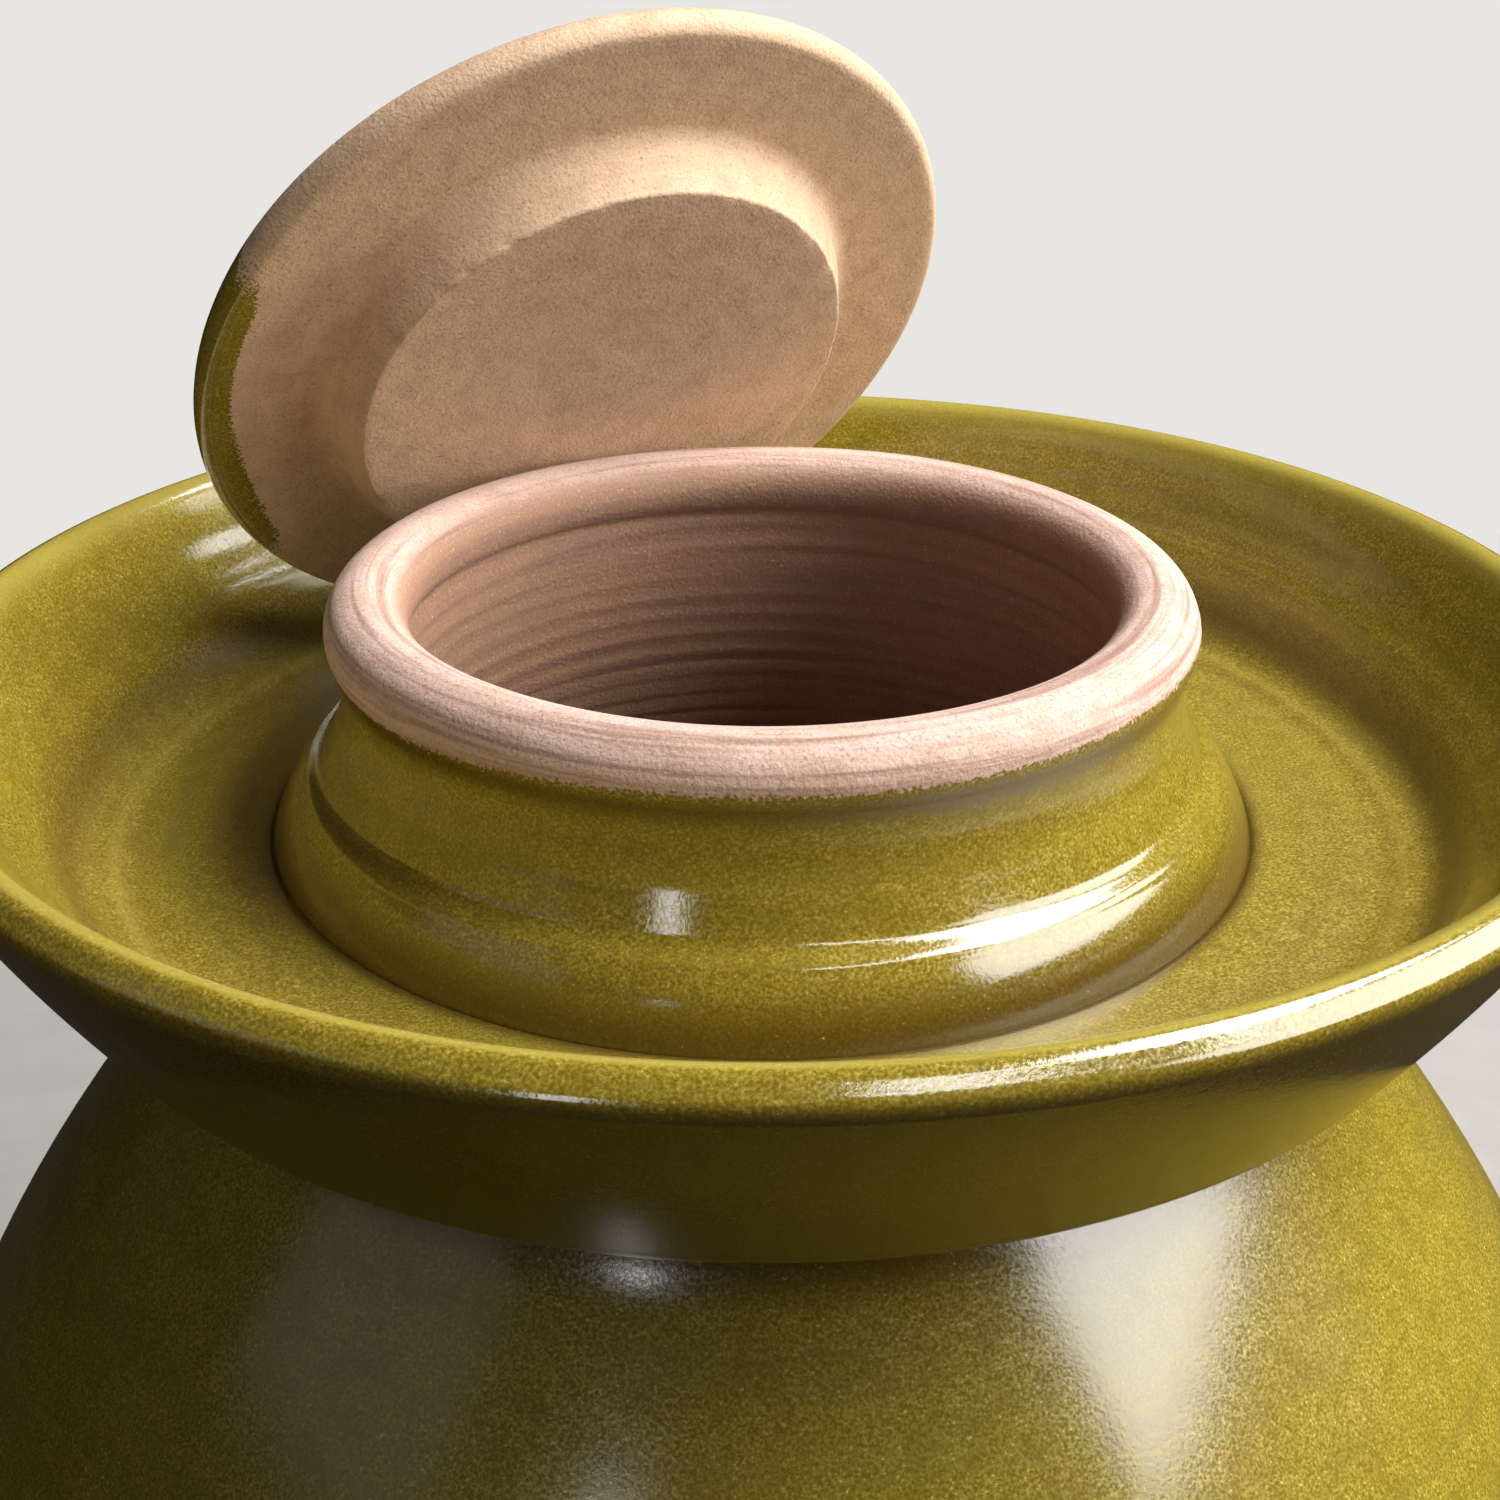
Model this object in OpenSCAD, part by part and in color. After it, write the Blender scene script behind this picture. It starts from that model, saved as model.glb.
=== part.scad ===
// Water seal pickle jar with its inner lid standing in the trough and its outer cover set down.
// The origin is the centre of the foot on the surface, +Z is up and the front faces -Y.

/* [Jar] */
// Height of the jar from the surface to the top of the neck's rim
jar_h = 350; // [330:5:400]
// Radius of the flat foot
foot_r = 86; // [70:1:100]
// Largest radius of the belly
belly_r = 145; // [136:1:160]
// Height of the widest point of the belly
belly_z = 150; // [130:2:176]
// Radius of the shoulder's level top, where the neck and the trough are luted on
shoulder_r = 80; // [77:0.5:84]
// Thickness of the vessel's wall, measured level
wall_t = 8; // [6:0.5:11]
// Thickness of the vessel's bottom
bottom_t = 10; // [8:0.5:14]
// Thickness of the shoulder's level top
deck_t = 7; // [6:0.5:9]
// Radius of the hollow inside between wall and bottom
bottom_fillet = 24; // [10:1:30]
// Radius of the hollow inside between wall and shoulder top
shoulder_fillet = 16; // [8:1:24]
// Width of the turned bevel round the foot
foot_bevel = 2.5; // [1:0.5:4]

/* [Water trough] */
// Outer radius of the trough's rounded lip
trough_r = 119; // [115:0.5:125]
// Depth from the top of the neck's rim down to the trough's floor
trough_depth = 36.5; // [34:0.5:40]
// Distance of the trough's lip below the top of the neck's rim
lip_drop = 8.5; // [6:0.5:12]
// Thickness of the trough's foot between the shoulder and the trough's floor
trough_foot_t = 19.5; // [17:0.5:22]
// Radius at which the level floor and the flared wall would meet
trough_floor_r = 94.5; // [93:0.5:96]
// Radius of the hollow between floor and wall
trough_hollow = 12; // [8:0.5:14]
// Radius of the soft corner where the trough's foot turns up into its wall
chin_r = 100; // [98:0.5:102]
// Distance of that corner below the trough's floor
chin_drop = 7.5; // [6:0.5:9]
// Radius of the round of that corner
chin_round = 8; // [4:0.5:10]
// Thickness of the rounded lip
lip_t = 6.75; // [5:0.25:8]
// How far the trough's outside swells between that corner and the lip
trough_swell = 0.8; // [0.3:0.1:2]

/* [Neck] */
// Outer radius of the neck's fully rounded rim
rim_r = 61.2; // [61:0.1:63]
// Radius of the clear mouth inside the rim
mouth_r = 49.5; // [48:0.1:51]
// Angle by which the rim's round runs on under the mouth
rim_under = 35; // [20:1:45]
// Radius of the bore where the neck stands on the shoulder
throat_r = 61; // [57:0.5:63]
// Radius of the neck at its waist
waist_r = 59.4; // [58.8:0.1:60]
// Distance of the waist below the top of the rim
waist_drop = 14.5; // [13.5:0.5:15.5]
// Radius of the raised ledge under the waist
ledge_r = 65.2; // [64:0.1:66.4]
// Radius of the ledge's round
ledge_round = 2.5; // [1:0.25:3]
// Radius of the skirt where it meets the trough's floor
skirt_r = 70.5; // [69.5:0.5:72]
// How far the skirt swells out between ledge and floor
skirt_swell = 0.5; // [0.2:0.1:1]

/* [Inner lid] */
// Outer radius of the inner lid
lid_r = 62.1; // [61.5:0.1:64]
// Radius of the lid's fully rounded edge
lid_edge_r = 3.2; // [2.5:0.1:4]
// Rise of the lid's top above its edge
lid_dome = 7; // [4:0.5:10]
// Height of the plug under the lid
plug_h = 8.5; // [6:0.5:11]
// Radius of the plug's flat face
plug_r = 40; // [38:0.25:42]
// How far the plug widens from its face to its root
plug_flare = 2.2; // [1:0.1:3]
// Radius of the cove between plug and lid
plug_cove = 3; // [2:0.25:4]
// Radius of the soft edge round the plug's face
plug_soft = 1.2; // [0.5:0.1:2]
// Direction in which the lid stands, turned from straight behind the neck
lid_turn = 27.6; // [0:0.1:60]
// Angle below level at which the lid's edge presses into the trough's hollow
lid_rest = 62; // [50:1:72]
// Radius of the knob on the lid
knob_r = 15; // [12:0.5:18]
// Height of the knob
knob_h = 15; // [12:0.5:20]
// Radius of the knob's stem
knob_stem_r = 9.5; // [8:0.25:11]
// Radius of the hollow between the knob's stem and the lid
knob_cove = 2.5; // [1.5:0.25:3.5]
// Radius of the knob's rounded brow
knob_round = 3; // [2:0.25:4]
// Rise of the knob's top above its brow
knob_crown = 2; // [1:0.25:3]

/* [Outer cover] */
// Height of the cover's bowl
cover_h = 88; // [84:1:100]
// Thickness of the cover's wall
cover_t = 6; // [5:0.25:7]
// Distance between the cover's rim and the trough's wall when it stands in the trough
cover_gap = 7; // [5:0.5:9]
// Thickness of the bead round the cover's rim
cover_bead = 8; // [7.5:0.5:9]
// Height of the bead round the cover's rim
bead_h = 10; // [7:0.5:14]
// Radius of the bead's two edges
bead_round = 2.5; // [1.5:0.25:3]
// Outer radius of the ring on the cover's crown
grip_r = 34; // [28:0.5:40]
// Height of the ring on the cover's crown
grip_h = 12; // [8:0.5:16]
// Thickness of the ring on the cover's crown
grip_t = 6; // [5:0.25:7]
// Radius of the ring's rounded edges
grip_round = 2; // [1:0.25:2.25]
// How far the ring leans out from its foot
grip_lean = 1.5; // [0.5:0.25:2.5]
// Level land on the crown round the ring
crown_land = 3; // [2:0.5:6]
// Space between the cover on the surface and the jar's belly
cover_space = 6; // [4:1:20]

/* [Fits] */
// Clearance between pieces that lean on each other
clearance = 0.3; // [0.2:0.05:0.6]

/* [Hidden] */
$fn = 96;
arc_steps = 10;
wall_steps = 22;
bore_power = 1.8;
glaze = "#8a7424";
clay = "#b98f6e";

floor_z = jar_h - trough_depth;
seat_z = floor_z - trough_foot_t;
lip_z = jar_h - lip_drop - lip_t / 2;
lip_c = [trough_r - lip_t / 2, lip_z];
rim_round = (rim_r - mouth_r) / 2;
rim_c = [mouth_r + rim_round, jar_h - rim_round];
bore_top = rim_c - rim_round * [cos(rim_under), sin(rim_under)];
waist_z = jar_h - waist_drop;

// Points of a round stretch about centre c, from angle a0 to angle a1
function arc(c, r, a0, a1, n = arc_steps) =
    [for (i = [0:n]) let (a = a0 + (a1 - a0) * i / n) c + r * [cos(a), sin(a)]];
// Points of a shallow swelling between p and q, standing out to the right of the way
function swell(p, q, h, n = arc_steps) =
    let (d = q - p, side = [d[1], -d[0]] / norm(d))
    [for (i = [1:n - 1]) let (u = i / n) p + d * u + side * h * 4 * u * (1 - u)];

// Outer radius of the vessel at height z: two parabolas that meet at the belly
function jar_r(z) = z < belly_z
    ? belly_r - (belly_r - foot_r) * pow((belly_z - z) / belly_z, 2)
    : belly_r - (belly_r - shoulder_r) * pow((z - belly_z) / (seat_z - belly_z), 2);
// Angle by which the vessel's wall leans out at height z, from straight up
function jar_lean(z) = atan((jar_r(z + 0.5) - jar_r(z - 0.5)));
function heights(z0, z1, n = wall_steps) = [for (i = [0:n]) z0 + (z1 - z0) * i / n];

// The inside hollows end where they run smoothly into the wall
low_lean = jar_lean(bottom_t + bottom_fillet / 2);
low_z = bottom_t + bottom_fillet * (1 - sin(low_lean));
low_c = [jar_r(low_z) - wall_t - bottom_fillet * cos(low_lean), bottom_t + bottom_fillet];
deck_z = seat_z - deck_t;
high_lean = -jar_lean(deck_z - shoulder_fillet / 2);
high_z = deck_z - shoulder_fillet * (1 - sin(high_lean));
high_c = [jar_r(high_z) - wall_t - shoulder_fillet * cos(high_lean), deck_z - shoulder_fillet];

// The waist's arc runs smoothly out of the rim's round
waist_dz = rim_c[1] - waist_z;
waist_in = rim_c[0] - waist_r;
waist_arc = (pow(waist_in, 2) + pow(waist_dz, 2) - pow(rim_round, 2)) / (2 * (rim_round + waist_in));
waist_c = [waist_r + waist_arc, waist_z];
rim_turn = atan2(waist_c[1] - rim_c[1], waist_c[0] - rim_c[0]);
ledge_turn = acos((waist_c[0] - ledge_r) / waist_arc);
ledge_way = [cos(ledge_turn), sin(ledge_turn)];
ledge_c = waist_c - (waist_arc + ledge_round) * ledge_way;
// The skirt runs from the floor to the outer side of the ledge's round
skirt_foot = [skirt_r, floor_z];
skirt_way = ledge_c - skirt_foot;
skirt_angle = atan2(skirt_way[1], skirt_way[0]) - asin(ledge_round / norm(skirt_way));

// The flared wall of the trough runs from its floor to the inner side of the lip
flare_foot = [trough_floor_r, floor_z];
flare_way = lip_c - flare_foot;
flare_angle = atan2(flare_way[1], flare_way[0]) + asin(lip_t / 2 / norm(flare_way));
hollow_c = flare_foot + trough_hollow * [-1 / tan((180 - flare_angle) / 2), 1];
// Its foot runs out from the shoulder to the chin, and its outside from there up to the lip
chin = [chin_r, floor_z - chin_drop];
chin_angle = atan2(chin[1] - seat_z, chin[0] - shoulder_r);
outer_way = lip_c - chin;
outer_angle = atan2(outer_way[1], outer_way[0]) - asin(lip_t / 2 / norm(outer_way));
chin_cut = chin_round * tan((outer_angle - chin_angle) / 2);
chin_c = chin - chin_cut * [cos(chin_angle), sin(chin_angle)]
    + chin_round * [-sin(chin_angle), cos(chin_angle)];

// The standing lid's edge rests in the hollow of the trough, and its plug leans on the rim
edge_c = hollow_c + (trough_hollow - clearance - lid_edge_r) * [cos(lid_rest), -sin(lid_rest)];
rim_way = edge_c - rim_c;
rim_reach = plug_h + rim_round + clearance + lid_edge_r;
lid_lean = atan2(rim_way[1], rim_way[0]) + acos(rim_reach / norm(rim_way));
lid_edge_ring = lid_r - lid_edge_r;
lid_c = edge_c + lid_edge_ring * [-sin(lid_lean), cos(lid_lean)]
    - lid_edge_r * [cos(lid_lean), sin(lid_lean)];
plug_root = plug_r + plug_flare;
knob_foot_r = knob_stem_r + knob_cove;
knob_seat = 2 * lid_edge_r + lid_dome * (1 - pow(knob_foot_r / lid_edge_ring, 2));

// The cover's rim stands clear of the trough's flared wall
cover_r = trough_floor_r - cover_gap;
cover_y = belly_r + cover_r + cover_space;
crown_r = grip_r + crown_land;
bead_step = (cover_bead - cover_t) / 2;
dome_z = bead_h + bead_step;
dome_power = 0.8;

// Half of a bowl's outline, from its side at radius r0 up to its level crown of radius r1
function bowl(r0, r1, z0, z1, n = wall_steps) =
    [for (i = [0:n]) let (a = 90 * i / n)
        [r1 + (r0 - r1) * pow(cos(a), dome_power), z0 + (z1 - z0) * pow(sin(a), dome_power)]];
function reversed(points) = [for (i = [len(points) - 1:-1:0]) points[i]];

// The vessel: flat foot, low belly, long shoulder and the level top that neck and trough are luted to
module jar_body() {
    color(glaze)
    rotate_extrude()
    polygon(concat(
        [[0, 0], [foot_r - foot_bevel, 0]],
        [for (z = heights(foot_bevel, belly_z)) [jar_r(z), z]],
        [for (z = heights(belly_z, seat_z)) if (z > belly_z) [jar_r(z), z]],
        [[throat_r, seat_z], [throat_r, deck_z]],
        arc(high_c, shoulder_fillet, 90, high_lean),
        [for (z = heights(high_z, belly_z)) if (z < high_z) [jar_r(z) - wall_t, z]],
        [for (z = heights(belly_z, low_z)) if (z < belly_z && z > low_z) [jar_r(z) - wall_t, z]],
        arc(low_c, bottom_fillet, -low_lean, -90),
        [[0, bottom_t]]
    ));
}

// The dish-shaped trough round the neck, which holds the sealing water
module water_trough() {
    outer_side = [sin(outer_angle), -cos(outer_angle)];
    wall_foot = chin_c + chin_round * outer_side;
    lip_out = lip_c + lip_t / 2 * outer_side;
    color(glaze)
    rotate_extrude()
    polygon(concat(
        [[skirt_r, seat_z], [shoulder_r, seat_z]],
        arc(chin_c, chin_round, chin_angle - 90, outer_angle - 90),
        swell(wall_foot, lip_out, trough_swell),
        arc(lip_c, lip_t / 2, outer_angle - 90, flare_angle + 90),
        arc(hollow_c, trough_hollow, flare_angle - 90, -90),
        [[skirt_r, floor_z]]
    ));
}

// The neck: skirt, ledge, waist and the rounded rim that the inner lid closes
module neck_collar() {
    ledge_out = ledge_c + ledge_round * [sin(skirt_angle), -cos(skirt_angle)];
    color(glaze)
    rotate_extrude()
    polygon(concat(
        [[throat_r, seat_z], [skirt_r, seat_z], skirt_foot],
        swell(skirt_foot, ledge_out, skirt_swell),
        arc(ledge_c, ledge_round, skirt_angle - 90, ledge_turn),
        arc(waist_c, waist_arc, 180 + ledge_turn, 180 + rim_turn),
        arc(rim_c, rim_round, rim_turn, 180 + rim_under, 2 * arc_steps),
        [for (i = [1:arc_steps - 1]) let (u = i / arc_steps)
            bore_top + [(throat_r - bore_top[0]) * pow(u, bore_power), (seat_z - bore_top[1]) * u]]
    ));
}

// Puts a piece of the lid where the lid stands in the trough
module standing() {
    rotate([0, 0, lid_turn])
    translate([0, lid_c[0], lid_c[1]])
    rotate([lid_lean - 90, 0, 0])
    children();
}

// The inner lid: a disc with a domed top, a rounded edge and a raised plug underneath
module inner_lid() {
    color(clay)
    standing()
    rotate_extrude()
    polygon(concat(
        [[0, -plug_h]],
        arc([plug_r - plug_soft, plug_soft - plug_h], plug_soft, -90, 0),
        arc([plug_root + plug_cove, -plug_cove], plug_cove, 180, 90),
        arc([lid_edge_ring, lid_edge_r], lid_edge_r, -90, 90),
        [for (i = [1:arc_steps]) let (r = lid_edge_ring + (knob_foot_r - lid_edge_ring) * i / arc_steps)
            [r, 2 * lid_edge_r + lid_dome * (1 - pow(r / lid_edge_ring, 2))]],
        [[0, knob_seat]]
    ));
}

// The knob on the lid's top
module lid_knob() {
    brow = [knob_r - knob_round, knob_seat + knob_h - knob_crown - knob_round];
    color(glaze)
    standing()
    rotate_extrude()
    polygon(concat(
        [[0, knob_seat]],
        arc([knob_foot_r, knob_seat + knob_cove], knob_cove, -90, -180),
        arc(brow, knob_round, -60, 90),
        [for (i = [1:arc_steps]) let (r = brow[0] * (1 - i / arc_steps))
            [r, brow[1] + knob_round + knob_crown * (1 - pow(r / brow[0], 2))]]
    ));
}

// The outer cover: an upturned bowl with a bead round its rim, set down behind the jar
module cover_bowl() {
    color(glaze)
    translate([0, cover_y, 0])
    rotate_extrude()
    polygon(concat(
        arc([cover_r - bead_round, bead_round], bead_round, -90, 0),
        [[cover_r, bead_h]],
        bowl(cover_r - bead_step, crown_r, dome_z, cover_h),
        [[0, cover_h], [0, cover_h - cover_t]],
        reversed(bowl(cover_r - bead_step - cover_t, crown_r - cover_t, dome_z, cover_h - cover_t)),
        [[cover_r - cover_bead, bead_h]],
        arc([cover_r - cover_bead + bead_round, bead_round], bead_round, 180, 270)
    ));
}

// The turned ring on the cover's crown, by which it is lifted
module cover_grip_ring() {
    color(glaze)
    translate([0, cover_y, cover_h])
    rotate_extrude()
    polygon(concat(
        [[grip_r - grip_t, 0], [grip_r - grip_lean, 0]],
        arc([grip_r - grip_round, grip_h - grip_round], grip_round, 0, 90),
        arc([grip_r - grip_t + grip_round, grip_h - grip_round], grip_round, 90, 180)
    ));
}

jar_body();
water_trough();
neck_collar();
inner_lid();
lid_knob();
cover_bowl();
cover_grip_ring();
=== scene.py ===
# %% [markdown]
# # A water seal pickle jar
# A stoneware pickle jar is thrown on a wheel, dipped in one olive glaze and fired. Its neck
# stands in a wide trough of water, and an upturned bowl over the neck dips into that water,
# so that air gets out and none gets in. Nearly every surface here is turned, so this lesson
# is about one tool: an outline that is spun round an axis, and then made to look like clay
# by small, slow departures from the perfect circle.

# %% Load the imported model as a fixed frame
import math

import bpy
import numpy as np
from mathutils import Matrix, Vector


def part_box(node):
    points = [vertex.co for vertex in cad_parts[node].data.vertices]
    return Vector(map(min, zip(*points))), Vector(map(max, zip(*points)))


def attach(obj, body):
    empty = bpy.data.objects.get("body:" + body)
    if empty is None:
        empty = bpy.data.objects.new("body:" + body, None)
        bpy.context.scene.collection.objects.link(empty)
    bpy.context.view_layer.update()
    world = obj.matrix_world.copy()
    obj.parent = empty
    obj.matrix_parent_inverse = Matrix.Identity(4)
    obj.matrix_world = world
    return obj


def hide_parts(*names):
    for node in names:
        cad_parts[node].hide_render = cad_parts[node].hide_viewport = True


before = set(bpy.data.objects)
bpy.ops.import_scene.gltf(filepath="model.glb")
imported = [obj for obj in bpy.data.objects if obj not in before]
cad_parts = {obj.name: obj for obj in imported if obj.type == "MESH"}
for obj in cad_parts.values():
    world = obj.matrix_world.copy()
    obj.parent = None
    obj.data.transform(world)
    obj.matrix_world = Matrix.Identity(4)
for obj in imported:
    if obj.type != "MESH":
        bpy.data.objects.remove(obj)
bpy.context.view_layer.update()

mm = 0.001

# %% [markdown]
# ## The camera
# The picture is taken from close by and from above, with a lens a little longer than normal.
# The camera comes first, because every later choice of size of grain and depth of relief is
# judged through it. The place and tilt come from the circles of the rim, neck and trough.

# %% Camera at the viewing angle of the picture
frame_px = 1500
focal_px = 2300
sensor = 36.0
camera_data = bpy.data.cameras.new("camera")
camera_data.sensor_width = sensor
camera_data.lens = sensor * focal_px / frame_px
camera_data.clip_end = 60
camera = bpy.data.objects.new("camera", camera_data)
camera_at = (-1.7 * mm, -303.5 * mm, 462.3 * mm)
camera_down = 24.88
camera.location = camera_at
camera.rotation_euler = (math.radians(90 - camera_down), 0, 0)
bpy.context.scene.collection.objects.link(camera)
bpy.context.scene.camera = camera
bpy.context.scene.view_settings.view_transform = "Standard"
print("lens", round(camera_data.lens, 1), "mm")

# %% [markdown]
# ## Main sizes
# The frame holds the real sizes. What can be measured on it is measured, so that the dressed
# pieces follow the frame. The smaller sizes, such as the radius of a rounded edge, can't be
# read off a box. They repeat the values that the frame was built from, and each stands with
# the piece that it belongs to.

# %% Sizes measured on the frame
def across(node):
    """Radius of a turned node, and its lowest and highest point."""
    low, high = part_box(node)
    return (high.x - low.x) / 2, low.z, high.z


belly_r, foot_z, seat_z = across("jar_body")
trough_r, _, lip_top = across("water_trough")
skirt_r, _, jar_h = across("neck_collar")
cover_r, _, cover_h = across("cover_bowl")
grip_r, _, grip_top = across("cover_grip_ring")
cover_low, cover_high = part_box("cover_bowl")
cover_at = Vector(((cover_low.x + cover_high.x) / 2, (cover_low.y + cover_high.y) / 2, 0))
trough_foot = 19.5 * mm
floor_z = seat_z + trough_foot
print("jar height %.0f mm, belly %.0f mm across" % (jar_h / mm, 2 * belly_r / mm))

# %% [markdown]
# ## Outlines
# An outline is a list of points (radius, height). Straight stretches and round corners are
# enough for thrown pots: a corner that is left sharp catches no light and looks like plastic,
# so each one gets an arc. The outline is then cut into short, even steps, because the marks
# of the fingers are put on it later and need points to move.

# %% Tools for drawing an outline
def arc(centre, radius, start, end, steps=10):
    """Points of a round stretch, from angle start to angle end, in degrees."""
    turn = [math.radians(start + (end - start) * i / steps) for i in range(steps + 1)]
    return [(centre[0] + radius * math.cos(t), centre[1] + radius * math.sin(t)) for t in turn]


def even_steps(points, step):
    """The outline with points added until no stretch is longer than step, and none doubled."""
    out = [points[0]]
    for (r0, z0), (r1, z1) in zip(points, points[1:]):
        n = math.ceil(math.hypot(r1 - r0, z1 - z0) / step - 1e-6)
        out += [(r0 + (r1 - r0) * i / n, z0 + (z1 - z0) * i / n) for i in range(1, n + 1)]
    return np.array(out)


print("a quarter turn takes", len(arc((0, 0), 1, 0, 90)), "points")

# %% [markdown]
# ## Slow noise
# Clay that turns under a hand is never random from point to point. It swells and shrinks
# slowly along the way and round the turn. A few sine waves with fixed phases give that, and
# they join up after a full turn, which picture noise doesn't.

# %% Noise that closes after a full turn
def slow_noise(seed, around, along, length, waves=6, turns=4):
    """Values between about -1 and 1 over the angles around and the way along (metres)."""
    rng = np.random.RandomState(seed)
    total = np.zeros(np.broadcast(around, along).shape)
    for _ in range(waves):
        k = rng.randint(0, turns + 1)
        f = rng.uniform(0.3, 1.0) / length
        total += np.sin(k * around + 2 * math.pi * f * along + rng.uniform(0, 2 * math.pi))
    return total / math.sqrt(waves * 2)


one_turn = slow_noise(1, np.linspace(0, 2 * math.pi, 90), 0, 1.0)
print("slow noise over one turn: %.2f to %.2f" % (one_turn.min(), one_turn.max()))


# %% The marks of the fingers
def throwing_marks(seed, around, along, pitch, depth, length=0.06):
    """The spiral groove that the fingers leave, of changing depth."""
    drift = 0.5 * slow_noise(seed, around, along, length)
    wave = np.sin(2 * math.pi * (along / pitch + drift * 0.6) - around)
    strength = 0.65 + 0.5 * slow_noise(seed + 1, around, along, length / 2)
    return depth * wave * np.clip(strength, 0.1, 1.2)


# %% [markdown]
# ## Turning a piece
# Blender can spin an outline with a modifier, but then the relief would need another one on
# top, and the marks have to know the angle and the way along the outline. So the mesh is
# written directly: one ring of points per step, each moved along the outline's normal.
#
# The same step stores what the materials need: where a point is on the piece itself, how far
# round and along it lies, and three values. Bare is 1 where there is no glaze. The pool value
# is above 0 where glaze ran thick, and also where shade under the trough and the rim is painted
# in the dark amber of thick glaze, and below 0 where glaze ran thin. Flush lightens bare clay
# and takes some gloss from glaze.

# %% Tools for a turned mesh
def outward(pts, closed):
    """The direction that points out of the clay at each point of the outline."""
    before, after = np.roll(pts, 1, 0), np.roll(pts, -1, 0)
    if not closed:
        before[0], after[-1] = pts[0], pts[-1]
    way = after - before
    way /= np.maximum(np.linalg.norm(way, axis=1, keepdims=True), 1e-9)
    return np.stack([way[:, 1], -way[:, 0]], 1)


def ring_faces(index, on_axis, closed):
    """Faces between neighbouring rings of points. A ring on the axis is one point."""
    faces = []
    for i in range(len(index) if closed else len(index) - 1):
        j = (i + 1) % len(index)
        here, there = index[i], index[j]
        here_next, there_next = np.roll(here, -1), np.roll(there, -1)
        if on_axis[i] and on_axis[j]:
            continue
        if on_axis[i]:
            faces += list(zip(here, there_next, there))
        elif on_axis[j]:
            faces += list(zip(here, here_next, there))
        else:
            faces += list(zip(here, here_next, there_next, there))
    return faces


def store(mesh, key, kind, values):
    """Keeps a value at each point of the mesh, where the materials can read it."""
    field = "vector" if kind == "FLOAT_VECTOR" else "value"
    data = mesh.attributes.new(key, kind, "POINT").data
    data.foreach_set(field, np.asarray(values, dtype=np.float32).ravel())


def ramp(x, low, high):
    """0 below low, 1 above high, and a smooth way between."""
    t = np.clip((x - low) / (high - low), 0, 1)
    return t * t * (3 - 2 * t)


def bump(x, centre, width):
    """A smooth bump of height 1 at centre."""
    return np.exp(-((x - centre) / width) ** 2)


# %% The wheel
def turned(name, outline, body, place=Matrix.Identity(4), relief=None, bare=None, flush=None,
           pool=None, turns=256, closed=True):
    """A turned mesh. relief, bare, flush and the pool value (pooled glaze and painted shade) are
    functions of (around, along, r, z).
    """
    pts = outline[:-1] if closed and np.allclose(outline[0], outline[-1]) else outline
    n = len(pts)
    normal = outward(pts, closed)
    steps = np.linalg.norm(np.diff(pts, axis=0), axis=1)
    along = np.concatenate([[0], np.cumsum(steps)])[:, None]
    around = np.linspace(0, 2 * math.pi, turns, endpoint=False)[None, :]
    r, z = pts[:, :1], pts[:, 1:]
    ones = np.ones((n, turns))
    push = relief(around, along, r, z) * ones if relief else 0 * ones
    on_axis = pts[:, 0] < 1e-7
    push[on_axis] = 0
    rr = r + normal[:, :1] * push
    zz = z + normal[:, 1:] * push
    local = np.stack([rr * np.cos(around), rr * np.sin(around), zz * ones], -1).reshape(-1, 3)

    index = np.arange(n * turns).reshape(n, turns)
    for i in np.flatnonzero(on_axis):
        index[i] = index[i, 0]
    faces = ring_faces(index, on_axis, closed)
    used = np.unique([v for f in faces for v in f])
    new = np.full(n * turns, -1)
    new[used] = np.arange(len(used))
    faces = [[int(new[v]) for v in f] for f in faces]

    world = (np.c_[local, np.ones(len(local))] @ np.array(place).T)[:, :3]
    mesh = bpy.data.meshes.new(name)
    mesh.from_pydata(world[used].tolist(), [], faces)
    mesh.polygons.foreach_set("use_smooth", [True] * len(mesh.polygons))
    store(mesh, "local", "FLOAT_VECTOR", local[used])
    round_about = np.stack([np.cos(around) * ones, np.sin(around) * ones, along * ones], -1)
    store(mesh, "round", "FLOAT_VECTOR", round_about.reshape(-1, 3)[used])
    for key, rule in (("bare", bare), ("flush", flush), ("pool", pool)):
        value = rule(around, along, r, z) * ones if rule else 0 * ones
        store(mesh, key, "FLOAT", value.reshape(-1)[used])
    mesh.update()
    piece = bpy.data.objects.new(name, mesh)
    bpy.context.scene.collection.objects.link(piece)
    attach(piece, body)
    print("%s: %d faces, relief %.2f to %.2f mm" % (name, len(faces), push.min() / mm, push.max() / mm))
    return piece


# %% [markdown]
# ## The vessel
# The body is a low-bellied egg with a long, sloping shoulder. Two half parabolas that meet at
# the belly draw it with no kink. Inside it is the same curve, one wall further in. The potter
# pulls the wall up in two or three goes, which leaves wide, shallow bands outside and sharper
# rings inside, where nobody smooths them.

# %% The vessel's sizes
foot_r = 86 * mm
belly_z = 150 * mm
shoulder_r = 80 * mm
wall = 8 * mm
bottom = 10 * mm
deck = 7 * mm
deck_z = seat_z - deck
bevel = 2.5 * mm
throat_r = 61 * mm
low_hollow = 24 * mm
high_hollow = 16 * mm


def vessel_r(z):
    """Outer radius of the vessel at height z."""
    if z < belly_z:
        return belly_r - (belly_r - foot_r) * ((belly_z - z) / belly_z) ** 2
    return belly_r - (belly_r - shoulder_r) * ((z - belly_z) / (seat_z - belly_z)) ** 2


def lean(z):
    """Angle by which the wall leans out at height z."""
    return math.degrees(math.atan((vessel_r(z + mm / 2) - vessel_r(z - mm / 2)) / mm))


print("the wall leans out by %.0f degrees at the foot" % lean(bevel))

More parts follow.
